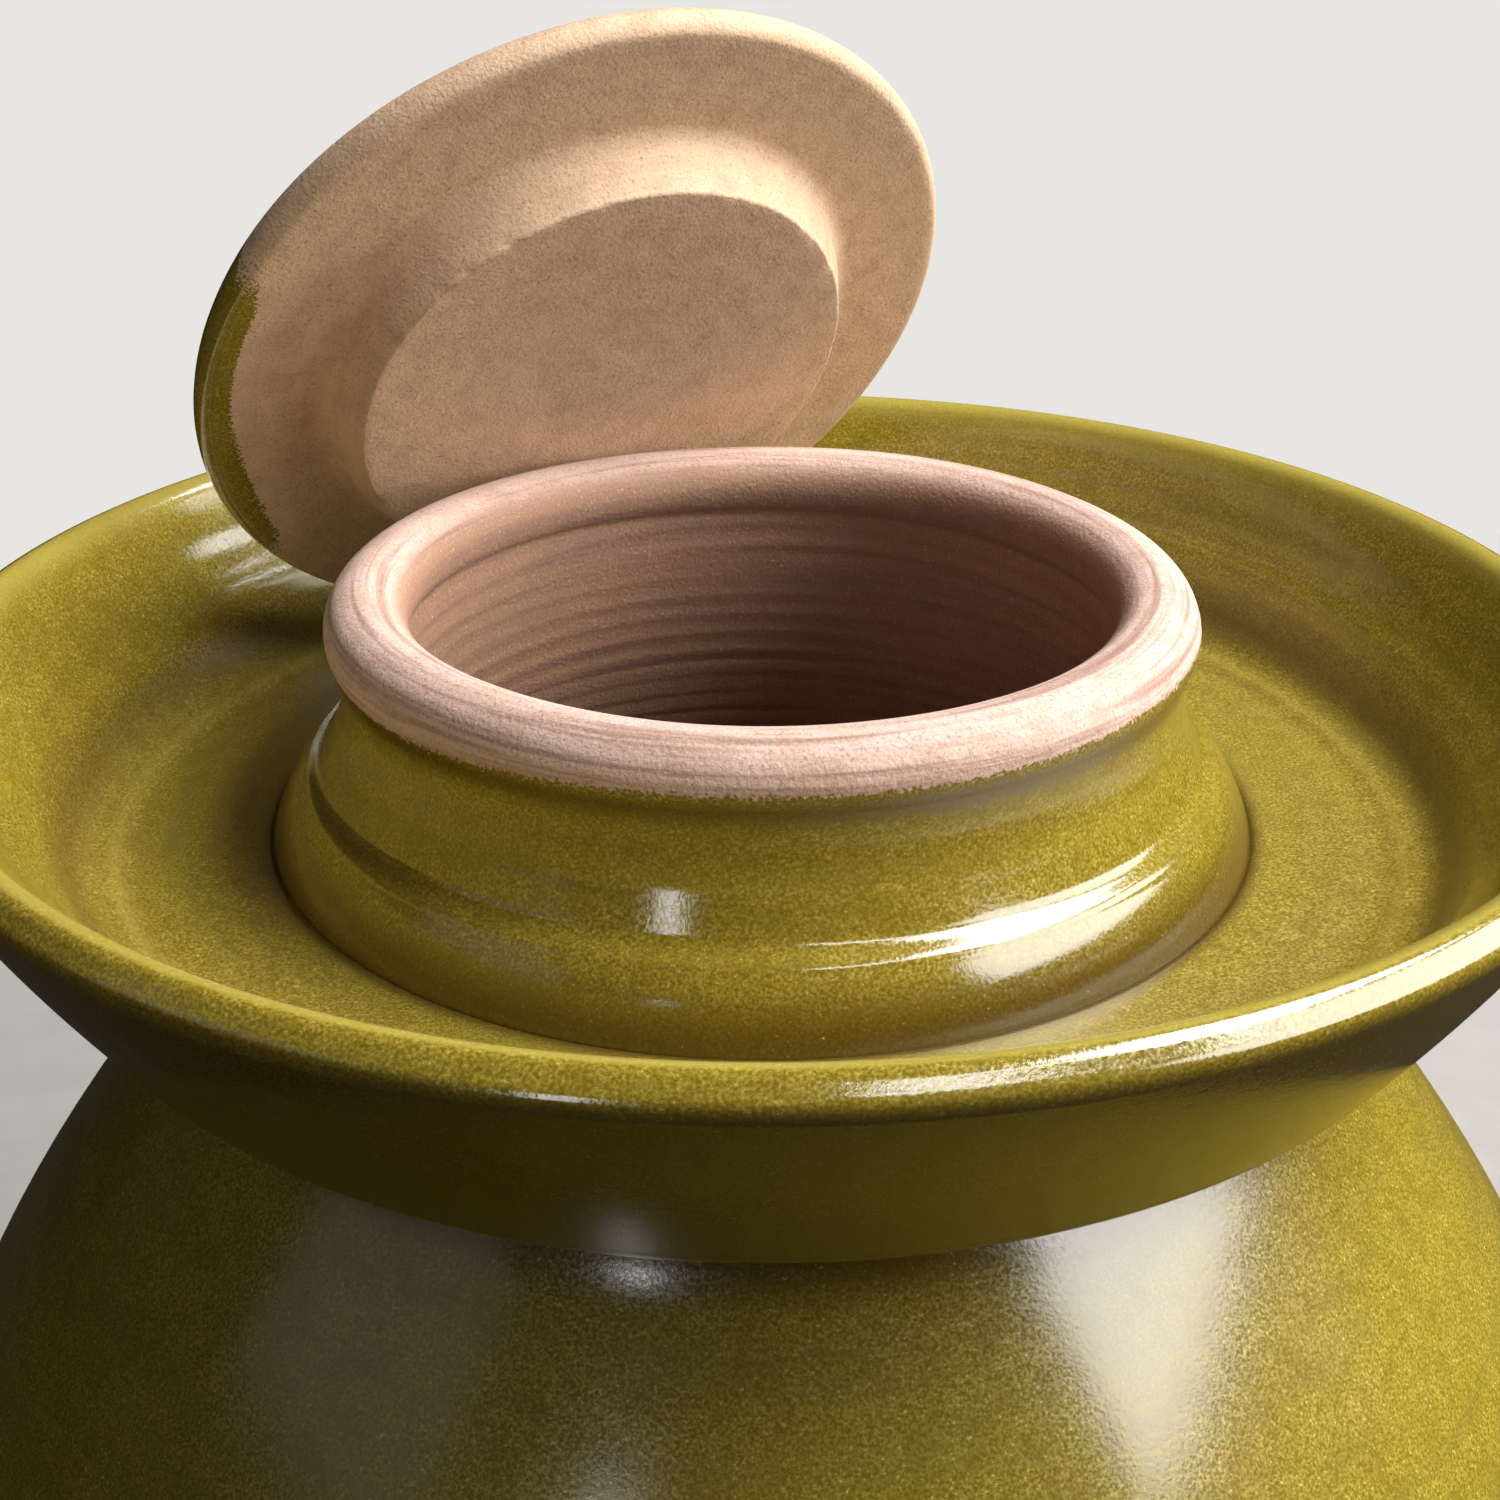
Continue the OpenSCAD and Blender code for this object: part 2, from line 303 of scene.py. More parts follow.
# %% The vessel's outline
low_lean = lean(bottom + low_hollow / 2)
low_z = bottom + low_hollow * (1 - math.sin(math.radians(low_lean)))
low_c = (vessel_r(low_z) - wall - low_hollow * math.cos(math.radians(low_lean)),
         bottom + low_hollow)
high_lean = -lean(deck_z - high_hollow / 2)
high_z = deck_z - high_hollow * (1 - math.sin(math.radians(high_lean)))
high_c = (vessel_r(high_z) - wall - high_hollow * math.cos(math.radians(high_lean)),
          deck_z - high_hollow)

outside = [(vessel_r(z), z) for z in np.linspace(bevel, seat_z, 60)]
inside = [(vessel_r(z) - wall, z) for z in np.linspace(high_z, low_z, 60)]
vessel_outline = even_steps(
    [(0, 0), (foot_r - bevel, 0)] + outside + [(throat_r, seat_z), (throat_r, deck_z)]
    + arc(high_c, high_hollow, 90, high_lean) + inside + arc(low_c, low_hollow, -low_lean, -90)
    + [(0, bottom)], step=3.2 * mm)
print("vessel outline:", len(vessel_outline), "points")


# %% The vessel's relief, bare foot and painted shade
def outer_side(r, z):
    """1 on the outside of the vessel's wall and 0 elsewhere."""
    limit = np.vectorize(vessel_r)(z) - wall / 2
    return (r > limit) * ramp(z, 2 * mm, 14 * mm) * ramp(seat_z - z, 0.3 * mm, 6 * mm)


def vessel_relief(around, along, r, z):
    out = outer_side(r, z)
    inside_wall = (out == 0) * (r > 20 * mm) * (z > bottom + 8 * mm) * (z < deck_z - 8 * mm)
    bands = 0.16 * mm * slow_noise(3, around, along, 0.05, waves=8, turns=2)
    swells = -0.45 * mm + 0.35 * mm * slow_noise(4, around, along, 0.16, waves=5, turns=3)
    rings = throwing_marks(5, around, along, 9 * mm, 0.45 * mm)
    return out * (bands + swells) + inside_wall * rings


def vessel_bare(around, along, r, z):
    """Glaze stops a finger's breadth above the foot, and there is none inside or below."""
    edge = 7 * mm + 2.2 * mm * slow_noise(8, around, 0 * along, 1.0, waves=5, turns=6)
    limit = np.vectorize(vessel_r)(z) - wall / 2
    return np.where(r > limit, 1 - ramp(z, edge - 0.8 * mm, edge + 0.8 * mm), 1.0)


def vessel_pool(around, along, r, z):
    """Glaze runs down in firing and is thick above the foot; the corner under the trough is darkened as
    painted shade.
    """
    roll = ramp(z, 6 * mm, 12 * mm) * (1 - ramp(z, 16 * mm, 34 * mm))
    # Painted shade: the top of the shoulder, under the trough, is darkened with the amber of thick
    # glaze.
    corner = ramp(z, seat_z - 9 * mm, seat_z)
    return np.clip(roll + corner, 0, 1)


vessel = turned("vessel", vessel_outline, "jar", relief=vessel_relief, bare=vessel_bare,
                flush=lambda around, along, r, z: 0.25, pool=vessel_pool, turns=224, closed=False)
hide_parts("jar_body")

# %% [markdown]
# ## The trough
# The trough is a flared dish, thrown as a ring and luted on the shoulder round the neck. It
# holds a finger's depth of water. The wide rings on its floor are the marks of the rib that
# pressed it down: a raised ring where the floor ends, and a groove at the foot of the wall.

# %% The trough's sizes
floor_r = 94.5 * mm
hollow = 12 * mm
lip = 6.75 * mm
lip_c = (trough_r - lip / 2, lip_top - lip / 2)
chin = (100 * mm, floor_z - 7.5 * mm)
chin_round = 8 * mm
trough_swell = 0.8 * mm
print("the lip's middle is %.1f mm from the axis" % (lip_c[0] / mm))


# %% Tools for a wall that runs into round places
def way_to_lip(foot, side):
    """Angle of the line from foot that touches the lip on one side, in degrees."""
    dr, dz = lip_c[0] - foot[0], lip_c[1] - foot[1]
    return math.degrees(math.atan2(dz, dr) + side * math.asin(lip / 2 / math.hypot(dr, dz)))


def beside(point, distance, angle):
    """The point that lies at a distance to the right of the way that has this angle."""
    turn = math.radians(angle)
    return (point[0] + distance * math.sin(turn), point[1] - distance * math.cos(turn))


def swell(p, q, height, steps=12):
    """Points of a shallow swelling to the right of the way from p to q."""
    dr, dz = q[0] - p[0], q[1] - p[1]
    size = math.hypot(dr, dz)
    rise = [4 * height * i / steps * (1 - i / steps) for i in range(1, steps)]
    return [(p[0] + dr * i / steps + dz / size * h, p[1] + dz * i / steps - dr / size * h)
            for i, h in enumerate(rise, 1)]


# %% The trough's outline
flare = way_to_lip((floor_r, floor_z), 1)
outer = way_to_lip(chin, -1)
under = math.degrees(math.atan2(chin[1] - seat_z, chin[0] - shoulder_r))
hollow_c = (floor_r - hollow / math.tan(math.radians((180 - flare) / 2)), floor_z + hollow)
cut_back = chin_round * math.tan(math.radians((outer - under) / 2))
chin_start = (chin[0] - cut_back * math.cos(math.radians(under)),
              chin[1] - cut_back * math.sin(math.radians(under)))
chin_c = beside(chin_start, -chin_round, under)

trough_outline = even_steps(
    [(skirt_r, seat_z), (shoulder_r, seat_z)] + arc(chin_c, chin_round, under - 90, outer - 90)
    + swell(beside(chin_c, chin_round, outer), beside(lip_c, lip / 2, outer), trough_swell)
    + arc(lip_c, lip / 2, outer - 90, flare + 90, 16)
    + arc(hollow_c, hollow, flare - 90, -90, 12)
    + [(skirt_r, floor_z), (skirt_r, seat_z)], step=0.9 * mm)
print("trough outline:", len(trough_outline), "points, flare", round(flare, 1), "degrees")


# %% [markdown]
# What makes the trough look thrown is told in its cross-section: the rib's ring and groove on
# the floor, two faint bands where the wall begins, and a lip that the sponge has flattened a
# little. That flat is a third of a millimetre deep, and the lip's long highlight lies on it.

# %% The trough's relief
rib_ring = 91.5 * mm
rib_groove = 95.8 * mm
floor_corner = 97 * mm
wall_band = 101 * mm
wall_dip = 106 * mm
facet_at = math.radians(45)
facet_half = math.radians(27)


def in_trough(r, z):
    """1 on the side of the trough that holds the water, and 0 on its outside."""
    foot = floor_r + 3.5 * mm
    middle = foot + (lip_c[0] - foot) * (z - floor_z) / (lip_c[1] - floor_z)
    return (z > floor_z - 0.5 * mm) * (r < np.minimum(middle, lip_c[0]))


def lip_facet(r, z):
    """The lip is a little flat on its upper outer side, where the sponge pressed it."""
    turn = np.arctan2(z - lip_c[1], r - lip_c[0]) - facet_at
    on_lip = (np.abs(turn) < facet_half) * (np.hypot(r - lip_c[0], z - lip_c[1]) < 0.52 * lip)
    flat = math.cos(facet_half) / np.cos(np.clip(turn, -facet_half, facet_half))
    return on_lip * 0.5 * lip * (flat - 1)


def rib_wander(around, along):
    """The rib moves a little in the hand, so its rings aren't quite round."""
    return 0.9 * mm * slow_noise(21, around, 0 * along, 1.0, waves=4, turns=3)


def trough_relief(around, along, r, z):
    inner = in_trough(r, z)
    wander = rib_wander(around, along)
    ring = 0.5 * mm * bump(r, rib_ring + wander, 1.9 * mm)
    groove = -0.3 * mm * bump(r, rib_groove + wander, 2.2 * mm)
    band = 0.35 * mm * bump(r, wall_band + wander, 2.6 * mm)
    band = band - 0.2 * mm * bump(r, wall_dip + wander, 2.4 * mm)
    marks = throwing_marks(22, around, along, 5.2 * mm, 0.05 * mm, 0.03)
    sag = 0.25 * mm * slow_noise(23, around, along, 0.08, waves=5, turns=3)
    quiet = ramp(r, skirt_r + 0.5 * mm, skirt_r + 5 * mm) * ramp(lip_top - z, 1 * mm, 7 * mm)
    outside = (1 - inner) * ramp(z, seat_z + 1 * mm, seat_z + 6 * mm)
    worn = 0.05 * mm * (slow_noise(24, around, along, 0.03, turns=3) - 1.6)
    return inner * quiet * (ring + groove + band + marks + sag) + outside * worn + lip_facet(r, z)


# %% The trough's glaze and painted shade
def trough_pool(around, along, r, z):
    """Glaze gathers in the corners of the floor and thins out over the ring and the lip; the outside is
    darkened as painted shade.
    """
    inner = in_trough(r, z)
    wander = rib_wander(around, along)
    corner_pool = 0.55 * bump(r, floor_corner + wander, 3.4 * mm) * inner
    foot_pool = 0.8 * (1 - ramp(r, skirt_r, skirt_r + 3 * mm)) * inner
    # Painted shade: the whole outside of the trough is darkened with the amber of thick glaze, most of
    # all on its underside.
    under_pool = (1 - inner) * (0.75 + 0.25 * (1 - ramp(z, seat_z, seat_z + 14 * mm)))
    over_ring = inner * bump(r, rib_ring + wander, 1.6 * mm)
    thin = -0.7 * bump(z, lip_top, 3.4 * mm) - 0.35 * over_ring
    return np.clip(corner_pool + foot_pool + under_pool, 0, 1) + thin


def trough_satin(around, along, r, z):
    """Where water stands the glaze has lost some of its gloss."""
    return in_trough(r, z) * (1 - ramp(z, floor_z + 3 * mm, floor_z + 14 * mm))


trough = turned("trough", trough_outline, "jar", relief=trough_relief, flush=trough_satin,
                pool=trough_pool, turns=320)
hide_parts("water_trough")

# %% [markdown]
# ## The neck
# The neck carries both lids, so the potter gives it a thick, rounded rim and leaves the rim
# bare: glaze there would stick the lid to the jar in the kiln. Below the rim the wall is
# drawn in to a waist, and then flares over a ledge into the skirt that stands on the
# trough's floor. The glaze line under the rim is ragged, because it was wiped with a sponge.
#
# Each round place runs into the next without a kink, so its middle is worked out from the
# one before. Only above the ledge is the wall straight for a stretch, and it meets the ledge
# in a tight corner. The crescent of light on the neck lies in that corner.

# %% The neck's sizes
rim_r = 61.2 * mm
mouth_r = 49.5 * mm
rim_round = (rim_r - mouth_r) / 2
rim_under = 35
waist_r = 59.4 * mm
waist_drop = 14.5 * mm
waist_z = jar_h - waist_drop
ledge_r = 65.2 * mm
ledge_round = 2.5 * mm
skirt_swell = 0.5 * mm
cone_turn = 24
ledge_top = 64
corner_reach = 1.3 * mm
bore_power = 1.8
print("the rim is %.1f mm thick" % (2 * rim_round / mm))

# %% The middles of the neck's round places
rim_c = (mouth_r + rim_round, jar_h - rim_round)
waist_dz = rim_c[1] - waist_z
waist_in = rim_c[0] - waist_r
waist_arc = (waist_in ** 2 + waist_dz ** 2 - rim_round ** 2) / (2 * (rim_round + waist_in))
waist_c = (waist_r + waist_arc, waist_z)
rim_turn = math.degrees(math.atan2(waist_c[1] - rim_c[1], waist_c[0] - rim_c[0]))
ledge_turn = math.acos((waist_c[0] - ledge_r) / waist_arc)
ledge_c = (waist_c[0] - (waist_arc + ledge_round) * math.cos(ledge_turn),
           waist_c[1] - (waist_arc + ledge_round) * math.sin(ledge_turn))
ledge_z = ledge_c[1] + ledge_round * math.sin(ledge_turn)
skirt_way = (ledge_c[0] - skirt_r, ledge_c[1] - floor_z)
skirt_angle = math.degrees(math.atan2(skirt_way[1], skirt_way[0])
                           - math.asin(ledge_round / math.hypot(*skirt_way)))
cone_start = arc(waist_c, waist_arc, 180 + cone_turn, 180, 1)[0]
ledge_end = arc(ledge_c, ledge_round, ledge_top, 0, 1)[0]
bore_top = (rim_c[0] - rim_round * math.cos(math.radians(rim_under)),
            rim_c[1] - rim_round * math.sin(math.radians(rim_under)))
bore = [(bore_top[0] + (throat_r - bore_top[0]) * u ** bore_power,
         bore_top[1] + (seat_z - bore_top[1]) * u) for u in np.linspace(0, 1, 24)]
print("the skirt leans in by %.0f degrees" % (skirt_angle - 90))


# %% The neck's outline
def crossing(p, p_angle, q, q_angle):
    """The point where the way from p and the way from q cross, for angles in degrees."""
    a, b = math.radians(p_angle), math.radians(q_angle)
    across_by = math.cos(a) * math.sin(b) - math.sin(a) * math.cos(b)
    t = ((q[0] - p[0]) * math.sin(b) - (q[1] - p[1]) * math.cos(b)) / across_by
    return (p[0] + t * math.cos(a), p[1] + t * math.sin(a))


def corner(p, middle, q, reach, steps=8):
    """A smooth curve round the corner in the middle of the way from p to q."""
    a, b, m = np.array(p), np.array(q), np.array(middle)
    a = m + (a - m) * min(1, reach / np.linalg.norm(a - m))
    b = m + (b - m) * min(1, reach / np.linalg.norm(b - m))
    t = np.linspace(0, 1, steps + 1)[:, None]
    return [tuple(point) for point in (1 - t) ** 2 * a + 2 * t * (1 - t) * m + t ** 2 * b]


ledge_corner = crossing(ledge_end, ledge_top + 90, cone_start, cone_turn - 90)
neck_outline = even_steps(
    [(throat_r, seat_z), (skirt_r, seat_z), (skirt_r, floor_z)]
    + swell((skirt_r, floor_z), beside(ledge_c, ledge_round, skirt_angle), skirt_swell)
    + arc(ledge_c, ledge_round, skirt_angle - 90, ledge_top)
    + corner(ledge_end, ledge_corner, cone_start, corner_reach)
    + arc(waist_c, waist_arc, 180 + cone_turn, 180 + rim_turn, 12)
    + arc(rim_c, rim_round, rim_turn, 180 + rim_under, 28) + bore, step=0.7 * mm)
print("neck outline:", len(neck_outline), "points, ledge at", round(ledge_z / mm, 1), "mm")


# %% The neck's relief
def inside_neck(r, z):
    """1 on the bore of the neck, below the rim."""
    middle = waist_r - 2 * mm + 5 * mm * ramp(floor_z + 8 * mm - z, 0, 12 * mm)
    return (r < middle) * ramp(jar_h - z, 8 * mm, 12 * mm)


def neck_relief(around, along, r, z):
    inner = inside_neck(r, z)
    rings = (throwing_marks(31, around, along, 3.9 * mm, 0.1 * mm, 0.02)
             + throwing_marks(32, around, along, 1.8 * mm, 0.05 * mm, 0.015)) * inner
    outside_wall = (r > waist_r - 0.5 * mm) * ramp(z, floor_z + 1 * mm, floor_z + 5 * mm)
    soft = 0.07 * mm * slow_noise(33, around, along, 0.02, waves=8, turns=2) * outside_wall
    ridges = bump(z, waist_z - 6.5 * mm, 0.9 * mm) + bump(z, waist_z - 1 * mm, 1.2 * mm)
    top = ramp(z, jar_h - 8 * mm, jar_h - 1 * mm)
    worn = (0.14 * mm * slow_noise(35, around, along, 0.02, turns=6) - 0.14 * mm) * top
    return rings - 0.1 * mm * inner + soft + 0.05 * mm * ridges * outside_wall + worn


# %% The neck's glaze and painted shade
def neck_bare(around, along, r, z):
    """Bare above the glaze line on the rim's outer side, and all the way down inside."""
    turn = np.mod(around, 2 * math.pi)
    line = jar_h - 6.5 * mm + 0.4 * mm * slow_noise(36, around, 0 * along, 1.0, waves=6, turns=5)
    line = line + 0.9 * mm * bump(turn, math.radians(330), math.radians(38))
    line = line - 1.3 * mm * bump(turn, math.radians(200), math.radians(42))
    out = ramp(z, line - 1.3 * mm, line + 1.3 * mm)
    return np.where((r < rim_c[0]) + (inside_neck(r, z) > 0), 1.0, out)


def neck_flush(around, along, r, z):
    """The rim fires to a light pink; the clay inside stays browner."""
    return ramp(z, jar_h - 10 * mm, jar_h - 5 * mm) * ramp(r, mouth_r, mouth_r + 3 * mm)


def neck_pool(around, along, r, z):
    """Amber where glaze has run over the skirt, thin on the ledge and below the waist, and a dark band
    under the rim: partly the glaze's ragged edge, partly painted shade.
    """
    skirt = (1 - ramp(z, floor_z + 1 * mm, ledge_z + 1 * mm)) * 0.95
    # Partly painted shade: this band darkens the neck where the rim shades it; the rest of it is the
    # dark edge of the glaze.
    under_line = 0.8 * bump(z, jar_h - 9 * mm, 2.6 * mm)
    thin = -0.2 * bump(z, ledge_z, 1.1 * mm) - 0.2 * bump(z, waist_z - 3 * mm, 4 * mm)
    return np.clip(skirt + under_line, 0, 1) + thin


neck = turned("neck", neck_outline, "jar", relief=neck_relief, bare=neck_bare, flush=neck_flush,
              pool=neck_pool, turns=288)
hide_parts("neck_collar")

# %% [markdown]
# ## The inner lid
# The inner lid is a disc with a plug under it that keeps it from sliding off the rim. Only
# its top is glazed. Here it stands on its edge in the trough and leans forward, with the
# plug against the rim. How far it leans is worked out from those two contacts, the same way
# as in the frame: the edge touches the hollow between the trough's floor and wall, and the
# plug's face touches the round of the rim. Only the place in the hollow and the turn round
# the jar are given as angles.

# %% Where the lid stands
lid_r = 62.1 * mm
lid_edge = 3.2 * mm
lid_dome = 7 * mm
plug_h = 8.5 * mm
plug_r = 40 * mm
plug_root = plug_r + 2.2 * mm
plug_cove = 3 * mm
lid_turn = 27.6
lid_rest = math.radians(62)
clearance = 0.3 * mm

edge_ring = lid_r - lid_edge
play = hollow - clearance - lid_edge
edge_c = (hollow_c[0] + play * math.cos(lid_rest), hollow_c[1] - play * math.sin(lid_rest))
to_edge = (edge_c[0] - rim_c[0], edge_c[1] - rim_c[1])
reach = plug_h + rim_round + clearance + lid_edge
lid_lean = math.atan2(to_edge[1], to_edge[0]) + math.acos(reach / math.hypot(*to_edge))
lid_c = (edge_c[0] - edge_ring * math.sin(lid_lean) - lid_edge * math.cos(lid_lean),
         edge_c[1] + edge_ring * math.cos(lid_lean) - lid_edge * math.sin(lid_lean))
standing = (Matrix.Rotation(math.radians(lid_turn), 4, "Z")
            @ Matrix.Translation((0, lid_c[0], lid_c[1]))
            @ Matrix.Rotation(lid_lean - math.pi / 2, 4, "X"))
print("the lid leans", round(math.degrees(lid_lean), 1), "degrees from upright")

# %% [markdown]
# On the lid itself the outline is simple. What sells it as pressed clay is the soft cove at
# the root of the plug, the slightly crumbled edge of the plug's face, and a surface that is
# nearly flat but not quite.

# %% The lid with its plug
knob_foot = 12 * mm
knob_seat = 2 * lid_edge + lid_dome * (1 - (knob_foot / edge_ring) ** 2)
plug_soft = 0.7 * mm
lid_outline = even_steps(
    [(0, -plug_h)] + arc((plug_r - plug_soft, plug_soft - plug_h), plug_soft, -90, 0, 5)
    + arc((plug_root + plug_cove, -plug_cove), plug_cove, 180, 90, 8)
    + arc((edge_ring, lid_edge), lid_edge, -90, 90, 14)
    + [(r, 2 * lid_edge + lid_dome * (1 - (r / edge_ring) ** 2))
       for r in np.linspace(edge_ring, knob_foot, 16)[1:]]
    + [(0, knob_seat)], step=1.1 * mm)
print("lid outline:", len(lid_outline), "points")


def lid_relief(around, along, r, z):
    under_side = (z < 0.2 * mm) * ramp(r, 3 * mm, 12 * mm)
    marks = throwing_marks(41, around, along, 9 * mm, 0.03 * mm, 0.03)
    crumble = slow_noise(43, around, along, 0.004, waves=24, turns=70)
    edge = bump(r, plug_r, 0.9 * mm) * bump(z, -plug_h, 1.4 * mm)
    nicks = -0.35 * mm * edge * np.clip(crumble - 0.1, 0, 1)
    warp = 0.16 * mm * slow_noise(42, around, along, 0.04, waves=7, turns=3)
    rim_warp = 0.18 * mm * (slow_noise(44, around, along, 0.05, waves=6, turns=5) - 1)
    rim_warp = rim_warp * ramp(r, plug_root, lid_r)
    return under_side * (marks + warp - 0.16 * mm) + nicks + rim_warp


# %% The lid's glaze
lap_at = math.radians(172)
lap_width = math.radians(32)


def lap_over(around):
    """1 where the glaze has run over the lid's edge, which is on the left as it stands."""
    middle = bump(np.mod(around, 2 * math.pi), lap_at, lap_width)
    return ramp(middle, 0.25, 0.6)


def lid_bare(around, along, r, z):
    """The underside and most of the edge are bare; glaze laps over the edge at one side."""
    wave = slow_noise(45, around, 0 * along, 1.0, waves=6, turns=9)
    lap = lap_over(around)
    line = 2 * lid_edge - 0.9 * mm + 0.5 * mm * wave - 6.6 * mm * lap
    on_edge = ramp(z, line - 0.35 * mm, line + 0.35 * mm) * (z > 0.05 * mm)
    reach_in = 57.2 * mm + 0.4 * mm * wave + 3 * mm * (1 - lap)
    on_face = ramp(r, reach_in - 0.3 * mm, reach_in + 0.3 * mm) * lap * (z > -1 * mm)
    return 1 - np.maximum(on_edge, on_face)


def lid_pool(around, along, r, z):
    return np.where(z > 2 * lid_edge, 0.15, -0.2) * (z > 0)


lid = turned("lid", lid_outline, "lid", standing, relief=lid_relief, bare=lid_bare,
             pool=lid_pool, turns=288, closed=False)
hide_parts("inner_lid")

# %% [markdown]
# The knob is a little mushroom, thrown from the same lump. A stem with a hollow round it
# gives wet fingers a hold. Glaze thins on its brow, as on every edge.

# %% The knob on the lid
knob_r = 15 * mm
knob_h = 15 * mm
knob_stem = 9.5 * mm
knob_cove = knob_foot - knob_stem
knob_round = 3 * mm
knob_crown = 2 * mm
brow = (knob_r - knob_round, knob_seat + knob_h - knob_crown - knob_round)
knob_outline = even_steps(
    [(0, knob_seat)] + arc((knob_foot, knob_seat + knob_cove), knob_cove, -90, -180, 8)
    + arc(brow, knob_round, -60, 90, 12)
    + [(brow[0] * (1 - i / 8), brow[1] + knob_round + knob_crown * (1 - (1 - i / 8) ** 2))
       for i in range(1, 9)], step=0.8 * mm)


def knob_relief(around, along, r, z):
    swirl = throwing_marks(51, around, along, 4 * mm, 0.09 * mm, 0.02) * (z > knob_seat + 3 * mm)
    return (swirl - 0.1 * mm) * ramp(r, 1 * mm, 4 * mm) * (z > knob_seat + 0.5 * mm)


def knob_pool(around, along, r, z):
    brow_line = bump(z, brow[1] + 2 * mm, 2 * mm) * ramp(r, 8 * mm, 13 * mm)
    return 1 - ramp(z, knob_seat, knob_seat + 4 * mm) - 0.7 * brow_line


knob = turned("knob", knob_outline, "lid", standing, relief=knob_relief, pool=knob_pool,
              turns=128, closed=False)
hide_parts("lid_knob")

# %% [markdown]
# ## The outer cover
# The cover is a bowl turned upside down. Its rim stands in the water of the trough, which is
# the whole trick of the jar: gas bubbles out under the rim, and air can't come back. Here it
# has been set down on its rim behind the jar. It is fired on that rim, so the rim is bare.

# %% The cover's sizes
cover_t = 6 * mm
cover_bead = 8 * mm
bead_h = 10 * mm
bead_round = 2.5 * mm
bead_step = (cover_bead - cover_t) / 2
crown_land = 3 * mm
crown_r = grip_r + crown_land
dome_power = 0.8
cover_place = Matrix.Translation(cover_at)
print("the cover stands %.0f mm behind the jar's axis" % (cover_at.y / mm))


# %% The cover's outline
def bowl(r0, r1, z0, z1, steps=44):
    """Half of a bowl's outline, from its side up to its level crown."""
    turn = [math.pi / 2 * i / steps for i in range(steps + 1)]
    return [(r1 + (r0 - r1) * max(math.cos(t), 0) ** dome_power,
             z0 + (z1 - z0) * math.sin(t) ** dome_power) for t in turn]


dome_z = bead_h + bead_step
outer_bowl = bowl(cover_r - bead_step, crown_r, dome_z, cover_h)
inner_bowl = bowl(cover_r - bead_step - cover_t, crown_r - cover_t, dome_z, cover_h - cover_t)
cover_outline = even_steps(
    arc((cover_r - bead_round, bead_round), bead_round, -90, 0, 6) + [(cover_r, bead_h)]
    + outer_bowl + [(0, cover_h), (0, cover_h - cover_t)] + inner_bowl[::-1]
    + [(cover_r - cover_bead, bead_h)]
    + arc((cover_r - cover_bead + bead_round, bead_round), bead_round, 180, 270, 6)
    + [(cover_r - bead_round, 0)], step=1.6 * mm)
print("cover outline:", len(cover_outline), "points")

# %% The cover's relief and glaze
smooth_way = 190 * mm


def cover_relief(around, along, r, z):
    """Smoothed outside and over the crown, which comes first along the outline; rings inside."""
    quiet = ramp(z, 2 * mm, 8 * mm) * ramp(r, 2 * mm, 10 * mm)
    seat = 1 - bump(r, grip_r - 3 * mm, 5 * mm) * (z > cover_h - 1 * mm)
    soft = 0.16 * mm * slow_noise(61, around, along, 0.03, waves=8, turns=3) - 0.2 * mm
    rings = throwing_marks(62, around, along, 8 * mm, 0.3 * mm) - 0.05 * mm
    return quiet * seat * np.where(along < smooth_way, soft, rings)


def cover_bare(around, along, r, z):
    line = 3.4 * mm + 0.8 * mm * slow_noise(63, around, 0 * along, 1.0, waves=6, turns=6)
    return 1 - ramp(z, line - 0.4 * mm, line + 0.4 * mm)


def cover_pool(around, along, r, z):
    roll = bump(z, 7 * mm, 3 * mm) * 0.7
    crown = (z > cover_h - 2 * mm) * bump(r, grip_r, 2.5 * mm)
    return np.clip(roll + crown, 0, 1) - 0.5 * bump(z, bead_h + 0.5 * mm, 1.2 * mm)


cover = turned("cover", cover_outline, "cover", cover_place, relief=cover_relief, bare=cover_bare,
               flush=lambda around, along, r, z: 0.3, pool=cover_pool, turns=256)
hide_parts("cover_bowl")

# %% [markdown]
# The ring on the crown is the turned foot of a bowl, used the other way up as a grip.

# %% The grip ring
grip_t = 6 * mm
grip_round = 2 * mm
grip_lean = 1.5 * mm
grip_outline = even_steps(
    [(grip_r - grip_t, cover_h), (grip_r - grip_lean, cover_h)]
    + arc((grip_r - grip_round, grip_top - grip_round), grip_round, 0, 90, 8)
    + arc((grip_r - grip_t + grip_round, grip_top - grip_round), grip_round, 90, 180, 8)
    + [(grip_r - grip_t, cover_h)], step=0.8 * mm)


def grip_relief(around, along, r, z):
    chatter = 0.08 * mm * slow_noise(71, around, along, 0.02, waves=8, turns=12) - 0.1 * mm
    return chatter * ramp(z, cover_h + 1 * mm, cover_h + 3 * mm)


def grip_pool(around, along, r, z):
    return 0.8 * (1 - ramp(z, cover_h, cover_h + 4 * mm)) - 0.9 * bump(z, grip_top, 1.6 * mm)


grip = turned("grip_ring", grip_outline, "cover", cover_place, relief=grip_relief, pool=grip_pool,
              turns=192)
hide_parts("cover_grip_ring")
